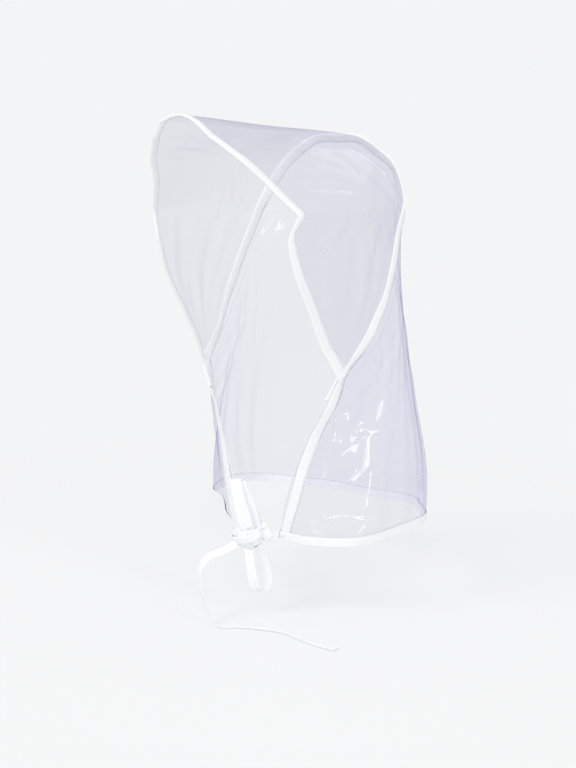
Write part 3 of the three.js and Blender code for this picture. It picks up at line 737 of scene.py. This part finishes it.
def brim_tape():
    """Tape round the face edge, from jaw to jaw, its ends drawn on under the cape's tape by cubics. It lies
    narrower beside the temples, where it turns over, and wider towards the left jaw, where it sits further
    out."""
    around = np.linspace(BRIM_START, 2 - BRIM_START, 1100)
    points, inside, normals = edge_frames(hood_film, around, np.zeros_like(around), (0, 0.02))
    near_jaw = 1 - smooth(around, 0.05, 0.22)
    points = points - inside * (BRIM_FURTHER * near_jaw)[:, None]
    joins = cape_film(np.array([0.0, 2.0]), np.full(2, BRIM_JOIN))
    u = np.linspace(0, 1, 40)[1:, None]
    ends = []
    for index, inner, join in ((0, 1, joins[0]), (-1, -2, joins[1])):
        span = join - points[index]
        slope = unit(points[index] - points[inner]) * np.linalg.norm(span)
        ends.append(hermite(points[index], join, slope, span, 1, u))
    held = [np.repeat(values[[0, -1]], len(u), 0).reshape(2, len(u), 3) for values in (inside, normals)]
    points = np.concatenate([ends[0][::-1], points, ends[1]])
    inside, normals = (np.concatenate([h[0], v, h[1]]) for h, v in zip(held, (inside, normals)))
    points, inside, normals, along_share = even_frames((points, inside, normals), 0.0006, 0.0009, 0.004)
    at_temple = bump(points[:, 2], TEMPLE_LEVEL, 0.0075)
    at_jaw = 1 - smooth(along_share, 0.04, 0.32)
    width = BRIM_WIDTH * (1 - BRIM_NARROWING * at_temple + BRIM_WIDENING * at_jaw)
    return folded_tape("brim_tape", points, inside, normals, width)


def cape_tape():
    """Tape up the left front edge, over the crown seam and down the right front edge. It lies flatter and
    wider below the jaw, over the ends of the brim's tape."""
    rise = np.linspace(0.985, 0.012, 300)
    over = np.linspace(0.008, 1.992, 900)
    left = edge_frames(cape_film, np.zeros_like(rise), rise, (0.02, 0))
    seam = edge_frames(cape_film, over, np.zeros_like(over), (0, 0.02))
    right = edge_frames(cape_film, np.full_like(rise, 2.0), rise[::-1], (-0.02, 0))
    frames = tuple(np.concatenate(parts) for parts in zip(left, seam, right))
    points, inside, normals, _ = even_frames(frames, 0.0007, 0.003, 0.009)
    width = TAPE_WIDTH * (1 + TAPE_SPREAD * bump(points[:, 2], JAW_LEVEL, 0.015))
    return folded_tape("cape_tape", points, inside, normals, width)


def hem_tape():
    """Tape folded over the hem, from front edge to front edge."""
    around = np.linspace(0, 2, 900)
    frames = edge_frames(cape_film, around, np.ones_like(around), (0, -0.02))
    points, inside, normals, _ = even_frames(frames, 0.0007, 0.0008, 0.003)
    return folded_tape("hem_tape", points, inside, normals, np.full(len(points), TAPE_WIDTH * 0.9))


def brim_end(name, around, inward):
    """End of the brim's tape below the jaw, drawn on under the cape's tape and a little past its edge."""
    down = np.linspace(0.03, BRIM_END_DOWN, 80)
    frames = edge_frames(cape_film, np.full_like(down, around), down, (inward, 0))
    points, inside, normals, share_along = even_frames(frames, 0.0006, 0.002, 0.006)
    past = BRIM_END_PAST * (smooth(share_along, 0.0, 0.35) + bump(share_along, 1.0, 0.05))[:, None]
    points = points - inside * past - normals * UNDER_TAPE
    return folded_tape(name, points, inside, normals, np.full(len(points), BRIM_WIDTH))


def selvedge(name, around, inward):
    """Trimmed film margin left standing outside the tape of a front edge, with a raised rim along its edge
    that is painted near white as a highlight. Its width swells and dies out along the edge."""
    down = np.linspace(BRIM_END_DOWN, 0.97, 260)
    points, inside, normals = edge_frames(cape_film, np.full_like(down, around), down, (inward, 0))
    at = (down - down[0]) / (down[-1] - down[0])
    reach = SELVEDGE * np.interp(at, [0, 0.1, 0.5, 0.8, 0.92, 1], [0.1, 0.45, 0.40, 1.0, 0.6, 0.05])
    across = np.linspace(0, 1, 9)
    out = across[None, :, None] * reach[:, None, None]
    lift = 0.0006 * np.sin(np.pi * across)[None, :, None]
    grid = points[:, None] - inside[:, None] * (out + TAPE_HALF * 0.5) + normals[:, None] * lift
    uv = np.stack(np.broadcast_arrays(at[:, None], across[None, :]), -1).reshape(-1, 2)
    strip = mesh_object(name, grid.reshape(-1, 3), grid_faces(len(down), len(across)), uv)
    rim_round = np.linspace(0, 2 * np.pi, 8, endpoint=False)
    centre = grid[:, -1]
    rim_half = RIM_HALF * (0.15 + 0.85 * smooth(at, 0.42, 0.60))
    rim = (
        centre[:, None]
        + inside[:, None] * (rim_half[:, None] * np.cos(rim_round))[..., None]
        + normals[:, None] * (rim_half[:, None] * np.sin(rim_round))[..., None]
    )
    faces = grid_faces(len(down), len(rim_round), closed=True)
    line = mesh_object(name + "_rim", rim.reshape(-1, 3), faces)
    return strip, line


def node_group(name, inputs, outputs):
    """Empty shader node group with float, colour or vector sockets."""
    group = bpy.data.node_groups.new(name, "ShaderNodeTree")
    for label, kind, value in inputs:
        socket = group.interface.new_socket(label, in_out="INPUT", socket_type=kind)
        if value is not None:
            socket.default_value = value
    for label, kind in outputs:
        group.interface.new_socket(label, in_out="OUTPUT", socket_type=kind)
    return group, group.nodes.new("NodeGroupInput"), group.nodes.new("NodeGroupOutput")


def math_node(tree, operation, a, b=None, c=None, clamp=False):
    """Math node; its inputs are sockets or numbers."""
    node = tree.nodes.new("ShaderNodeMath")
    node.operation = operation
    node.use_clamp = clamp
    for socket, value in zip(node.inputs, (a, b, c)):
        if value is None:
            continue
        if isinstance(value, (int, float)):
            socket.default_value = value
        else:
            tree.links.new(value, socket)
    return node.outputs[0]


def creases_group():
    """Waves and creases of stored film: noise stretched upright, put out as a height, and its middle contour
    sharpened into a few thin lines."""
    group, entry, exit_ = node_group(
        "film creases",
        [("Vector", "NodeSocketVector", None), ("Scale", "NodeSocketFloat", 30.0)],
        [("Height", "NodeSocketFloat"), ("Lines", "NodeSocketFloat")],
    )
    squeeze = group.nodes.new("ShaderNodeMapping")
    squeeze.inputs["Scale"].default_value = (1.0, 1.0, 0.24)
    group.links.new(entry.outputs["Vector"], squeeze.inputs["Vector"])
    noise = group.nodes.new("ShaderNodeTexNoise")
    noise.inputs["Detail"].default_value = 1.5
    noise.inputs["Distortion"].default_value = 0.4
    group.links.new(squeeze.outputs["Vector"], noise.inputs["Vector"])
    group.links.new(entry.outputs["Scale"], noise.inputs["Scale"])
    middle = math_node(group, "ABSOLUTE", math_node(group, "SUBTRACT", noise.outputs["Fac"], 0.5))
    line = math_node(group, "SUBTRACT", 1.0, math_node(group, "MULTIPLY", middle, 40.0), clamp=True)
    where = group.nodes.new("ShaderNodeTexNoise")
    where.inputs["Scale"].default_value = 11.0
    group.links.new(entry.outputs["Vector"], where.inputs["Vector"])
    some = math_node(group, "MULTIPLY_ADD", where.outputs["Fac"], 7.0, -3.8, clamp=True)
    group.links.new(noise.outputs["Fac"], exit_.inputs["Height"])
    group.links.new(math_node(group, "MULTIPLY", line, some), exit_.inputs["Lines"])
    return group


def film_material(name, creases, tint, scale):
    """Clear film: tinted see-through, mixed with a glossy milky skin that shows more where the film turns
    edge-on and along its fine creases. Along the welts the skin turns near white and shows more: a painted
    highlight."""
    material = bpy.data.materials.new(name)
    material.use_nodes = True
    tree = material.node_tree
    tree.nodes.clear()
    out = tree.nodes.new("ShaderNodeOutputMaterial")
    mix = tree.nodes.new("ShaderNodeMixShader")
    clear = tree.nodes.new("ShaderNodeBsdfTransparent")
    skin = tree.nodes.new("ShaderNodeBsdfPrincipled")
    skin.inputs["Roughness"].default_value = 0.2
    skin.inputs["IOR"].default_value = 1.54
    skin.inputs["Coat Weight"].default_value = 1.0
    skin.inputs["Coat Roughness"].default_value = 0.05
    skin.inputs["Coat IOR"].default_value = 3.0
    coords = tree.nodes.new("ShaderNodeTexCoord")
    crease = tree.nodes.new("ShaderNodeGroup")
    crease.node_tree = creases
    crease.inputs["Scale"].default_value = scale
    tree.links.new(coords.outputs["Object"], crease.inputs["Vector"])
    relief = tree.nodes.new("ShaderNodeBump")
    relief.inputs["Strength"].default_value = 0.5
    relief.inputs["Distance"].default_value = 0.0015
    tree.links.new(crease.outputs["Height"], relief.inputs["Height"])
    tree.links.new(relief.outputs["Normal"], skin.inputs["Normal"])
    facing = tree.nodes.new("ShaderNodeLayerWeight")
    facing.inputs["Blend"].default_value = 0.5
    tree.links.new(relief.outputs["Normal"], facing.inputs["Normal"])
    grazing = math_node(tree, "POWER", facing.outputs["Facing"], 2.6)
    amount = math_node(tree, "MULTIPLY_ADD", grazing, EDGE_MILK, FACING_MILK)
    amount = math_node(tree, "MULTIPLY_ADD", crease.outputs["Lines"], CREASE_MILK, amount, clamp=True)
    # Painted highlight: along the welts the skin turns near white and shows more
    highlight_attribute = tree.nodes.new("ShaderNodeAttribute")
    highlight_attribute.attribute_name = "painted_highlight"
    amount = math_node(tree, "MULTIPLY_ADD", highlight_attribute.outputs["Fac"], HIGHLIGHT_MILK, amount, clamp=True)
    body = tree.nodes.new("ShaderNodeMix")
    body.data_type = "RGBA"
    body.inputs["A"].default_value = FILM_BODY
    body.inputs["B"].default_value = HIGHLIGHT_BODY
    tree.links.new(highlight_attribute.outputs["Fac"], body.inputs["Factor"])
    tree.links.new(body.outputs["Result"], skin.inputs["Base Color"])
    tree.links.new(amount, mix.inputs["Fac"])
    shade = tree.nodes.new("ShaderNodeMix")
    shade.data_type = "RGBA"
    shade.inputs["A"].default_value = (*tint, 1)
    shade.inputs["B"].default_value = (*(a * b for a, b in zip(tint, EDGE_TINT)), 1)
    tree.links.new(grazing, shade.inputs["Factor"])
    tree.links.new(shade.outputs["Result"], clear.inputs["Color"])
    tree.links.new(clear.outputs[0], mix.inputs[1])
    tree.links.new(skin.outputs[0], mix.inputs[2])
    tree.links.new(mix.outputs[0], out.inputs["Surface"])
    return material


def tape_material(name):
    """Smooth white woven tape with a fine cross rib and a slightly bluish body, lighter at the fold and the
    edges as a painted highlight.
    """
    material = bpy.data.materials.new(name)
    material.use_nodes = True
    tree = material.node_tree
    skin = tree.nodes["Principled BSDF"]
    skin.inputs["Roughness"].default_value = 0.55
    uv = tree.nodes.new("ShaderNodeUVMap")
    uv.uv_map = "across"
    parts = tree.nodes.new("ShaderNodeSeparateXYZ")
    tree.links.new(uv.outputs["UV"], parts.inputs[0])
    # Colour across the width: the lighter fold and edges are a painted highlight
    ramp = tree.nodes.new("ShaderNodeValToRGB")
    stops = ramp.color_ramp.elements
    stops[0].color = (*TAPE_COLOURS_AND_HIGHLIGHT[0][1:], 1)
    stops[1].color = (*TAPE_COLOURS_AND_HIGHLIGHT[-1][1:], 1)
    for place, *colour in TAPE_COLOURS_AND_HIGHLIGHT[1:-1]:
        stops.new(place).color = (*colour, 1)
    tree.links.new(parts.outputs["Y"], ramp.inputs["Fac"])
    tree.links.new(ramp.outputs["Color"], skin.inputs["Base Color"])
    rib = math_node(tree, "SINE", math_node(tree, "MULTIPLY", parts.outputs["X"], 2 * math.pi / TAPE_RIB))
    relief = tree.nodes.new("ShaderNodeBump")
    relief.inputs["Strength"].default_value = 0.25
    relief.inputs["Distance"].default_value = 0.0002
    tree.links.new(rib, relief.inputs["Height"])
    tree.links.new(relief.outputs["Normal"], skin.inputs["Normal"])
    return material


def rim_highlight_material(name):
    """Cut edge of clear film, painted near white and opaque as a highlight."""
    material = bpy.data.materials.new(name)
    material.use_nodes = True
    skin = material.node_tree.nodes["Principled BSDF"]
    skin.inputs["Base Color"].default_value = (0.96, 0.96, 0.99, 1)
    skin.inputs["Roughness"].default_value = 0.2
    return material


def make_camera():
    """Camera at the photograph's angle."""
    lens = bpy.data.cameras.new("camera")
    lens.lens = LENS
    lens.clip_start = 0.05
    camera = bpy.data.objects.new("camera", lens)
    level = math.cos(ELEVATION)
    direction = np.array([math.sin(AZIMUTH) * level, -math.cos(AZIMUTH) * level, math.sin(ELEVATION)])
    camera.location = CAMERA_AIM + direction * CAMERA_DISTANCE
    camera.rotation_euler = Vector(-direction).to_track_quat("-Z", "Y").to_euler()
    bpy.context.scene.collection.objects.link(camera)
    bpy.context.scene.camera = camera


def area_light(name, place, aim, size, power):
    """Rectangular lamp turned to what it lights."""
    lamp = bpy.data.lights.new(name, "AREA")
    lamp.shape = "RECTANGLE"
    lamp.size, lamp.size_y = size
    lamp.energy = power
    thing = bpy.data.objects.new(name, lamp)
    thing.location = place
    thing.rotation_euler = (Vector(aim) - Vector(place)).to_track_quat("-Z", "Y").to_euler()
    bpy.context.scene.collection.objects.link(thing)


def make_floor():
    """Pale round floor, a flat disc whose paint fades into the surroundings further out."""
    turn = np.linspace(0, 2 * np.pi, 96, endpoint=False)
    height = -FLOOR_DROP - FLOOR_GAP
    points = np.stack([FLOOR_REACH * np.cos(turn), FLOOR_REACH * np.sin(turn), np.full(96, height)], -1)
    floor = mesh_object("floor", points, [list(range(96))])
    paint = bpy.data.materials.new("pale floor")
    paint.use_nodes = True
    tree = paint.node_tree
    skin = tree.nodes["Principled BSDF"]
    skin.inputs["Base Color"].default_value = (*FLOOR_WHITE, 1)
    skin.inputs["Roughness"].default_value = 0.7
    skin.inputs["Specular IOR Level"].default_value = 0.1
    coords = tree.nodes.new("ShaderNodeTexCoord")
    far = tree.nodes.new("ShaderNodeVectorMath")
    far.operation = "LENGTH"
    tree.links.new(coords.outputs["Object"], far.inputs[0])
    fade = tree.nodes.new("ShaderNodeMapRange")
    fade.interpolation_type = "SMOOTHSTEP"
    fade.inputs["From Min"].default_value = FADE_START
    fade.inputs["From Max"].default_value = FADE_END
    fade.inputs["To Min"].default_value = 1.0
    fade.inputs["To Max"].default_value = 0.0
    tree.links.new(far.outputs["Value"], fade.inputs["Value"])
    tree.links.new(fade.outputs["Result"], skin.inputs["Alpha"])
    floor.data.materials.append(paint)
    return floor


def make_world():
    """Pale surroundings in sight, weaker as light, and darker towards the floor in reflections, as in a room
    lit by soft boxes."""
    world = bpy.data.worlds.new("studio")
    world.use_nodes = True
    tree = world.node_tree
    seen = tree.nodes["Background"]
    seen.inputs["Color"].default_value = (*SURROUND, 1)
    light = tree.nodes.new("ShaderNodeBackground")
    light.inputs["Color"].default_value = (1.0, 1.0, 1.0, 1)
    light.inputs["Strength"].default_value = DAYLIGHT
    coords = tree.nodes.new("ShaderNodeTexCoord")
    parts = tree.nodes.new("ShaderNodeSeparateXYZ")
    tree.links.new(coords.outputs["Generated"], parts.inputs[0])
    ramp = tree.nodes.new("ShaderNodeValToRGB")
    ramp.color_ramp.elements[0].position = 0.35
    ramp.color_ramp.elements[0].color = MIRRORED_LOW
    ramp.color_ramp.elements[1].position = 0.75
    ramp.color_ramp.elements[1].color = MIRRORED_HIGH
    tree.links.new(math_node(tree, "MULTIPLY_ADD", parts.outputs["Z"], 0.5, 0.5), ramp.inputs["Fac"])
    mirror = tree.nodes.new("ShaderNodeBackground")
    tree.links.new(ramp.outputs["Color"], mirror.inputs["Color"])
    path = tree.nodes.new("ShaderNodeLightPath")
    dull = tree.nodes.new("ShaderNodeMixShader")
    tree.links.new(path.outputs["Is Glossy Ray"], dull.inputs["Fac"])
    tree.links.new(light.outputs[0], dull.inputs[1])
    tree.links.new(mirror.outputs[0], dull.inputs[2])
    mix = tree.nodes.new("ShaderNodeMixShader")
    tree.links.new(path.outputs["Is Camera Ray"], mix.inputs["Fac"])
    tree.links.new(dull.outputs[0], mix.inputs[1])
    tree.links.new(seen.outputs[0], mix.inputs[2])
    tree.links.new(mix.outputs[0], tree.nodes["World Output"].inputs["Surface"])
    bpy.context.scene.world = world


def make_studio():
    """Surroundings, floor and lamps."""
    make_world()
    make_floor()
    for name, place, size, power in LAMPS:
        area_light(name, place, LAMP_AIM, size, power)


make_camera()

# Ties, loops, knot and wraps of the bow
near_tie, _, _ = flat_tie("near_tie_tape", NEAR_TIE, UPRIGHT, grow=SHORT_TIE_GROW)
far_tie, _, _ = flat_tie("far_tie_tape", FAR_TIE, UPRIGHT, grow=SHORT_TIE_GROW)
upper_loop, upper_path, upper_length = flat_tie(
    "upper_loop_tape", UPPER_LOOP, BOW_WIDTH, BOW_CUP, widths=(0.0115, 0.0100, 0.0090)
)
lower_loop, lower_path, lower_length = flat_tie("lower_loop_tape", LOWER_LOOP, BOW_WIDTH, BOW_CUP)
long_tail, tail_path, tail_length = flat_tie("long_tail_tape", LONG_TAIL, tail_width, grow=(0.004, 0))
left_root, _, _ = flat_tie(
    "upper_loop_root_left", LEFT_ROOT, BOW_WIDTH, ROOT_CUP, widths=(0.0112, 0.0112, 0.0105)
)
right_root, _, _ = flat_tie(
    "upper_loop_root_right", RIGHT_ROOT, BOW_WIDTH, ROOT_CUP, widths=(0.0090, 0.0090, 0.0080)
)
loop_fold, _, _ = flat_tie(
    "upper_loop_fold", LOOP_FOLD, BOW_WIDTH, ROOT_CUP, widths=(0.0100, 0.0105, 0.0090), grow=(0.006, 0)
)
knot = knot_object()
wraps = [
    knot_wrap("bow_wrap_upright", (0.93, 0.10, 0.35), 0.36, 1.02),
    knot_wrap("bow_wrap_slanting", (0.45, 0.15, -0.88), 0.34, 1.05),
]

# The hood's film stops inside the tapes at its corners and at the seam
hood_around = np.linspace(0.012, 1.988, 420)
hood_back = np.linspace(0.0, 0.985, 150)
# Painted highlight along each film's welts
hood_highlight = welt_highlight(HOOD_WELTS, HOOD_AROUND, HOOD_BACK)
hood = sheet_object("hood_film", hood_film, hood_around, hood_back, hood_highlight)
cape_around = np.linspace(0, 2, 560)
cape_down = np.linspace(0, 1, 260)
cape_highlight = welt_highlight(CAPE_WELTS, CAPE_AROUND, CAPE_DOWN)
cape = sheet_object("cape_film", cape_film, cape_around, cape_down, cape_highlight)

brim, seam, hem = brim_tape(), cape_tape(), hem_tape()
brim_ends = [brim_end("brim_end_left", 0.0, 0.02), brim_end("brim_end_right", 2.0, -0.02)]
left_strip, left_rim_highlight = selvedge("selvedge_left", 0.0, 0.02)
right_strip, right_rim_highlight = selvedge("selvedge_right", 2.0, -0.02)

creases = creases_group()
hood_look = film_material("hood film", creases, HOOD_TINT, HOOD_CREASES)
cape_look = film_material("cape film", creases, CAPE_TINT, CAPE_CREASES)
tape_look = tape_material("white tape")
rim_highlight_look = rim_highlight_material("film edge highlight")

hood.data.materials.append(hood_look)
cape.data.materials.append(cape_look)
tapes = {
    brim: "brim_binding",
    seam: "cape_binding",
    hem: "hem_binding",
    near_tie: "near_tie",
    far_tie: "far_tie",
    upper_loop: "upper_loop",
    loop_fold: "upper_loop",
    left_root: "upper_loop",
    right_root: "upper_loop",
    lower_loop: "lower_loop",
    long_tail: "long_tail",
    knot: "bow_knot",
    **{wrap: "bow_knot" for wrap in wraps},
    **{end: "brim_binding" for end in brim_ends},
}
for piece, node in tapes.items():
    piece.data.materials.append(tape_look)
    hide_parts(node)
    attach(piece, "root")
for piece in (left_strip, right_strip):
    piece.data.materials.append(cape_look)
# The rims carry a painted highlight
for piece in (left_rim_highlight, right_rim_highlight):
    piece.data.materials.append(rim_highlight_look)
films = {
    hood: "hood_panel",
    cape: "cape",
    left_strip: "cape",
    right_strip: "cape",
    left_rim_highlight: "cape",
    right_rim_highlight: "cape",
}
for piece, node in films.items():
    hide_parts(node)
    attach(piece, "root")

make_studio()
bpy.context.scene.view_settings.view_transform = "Standard"
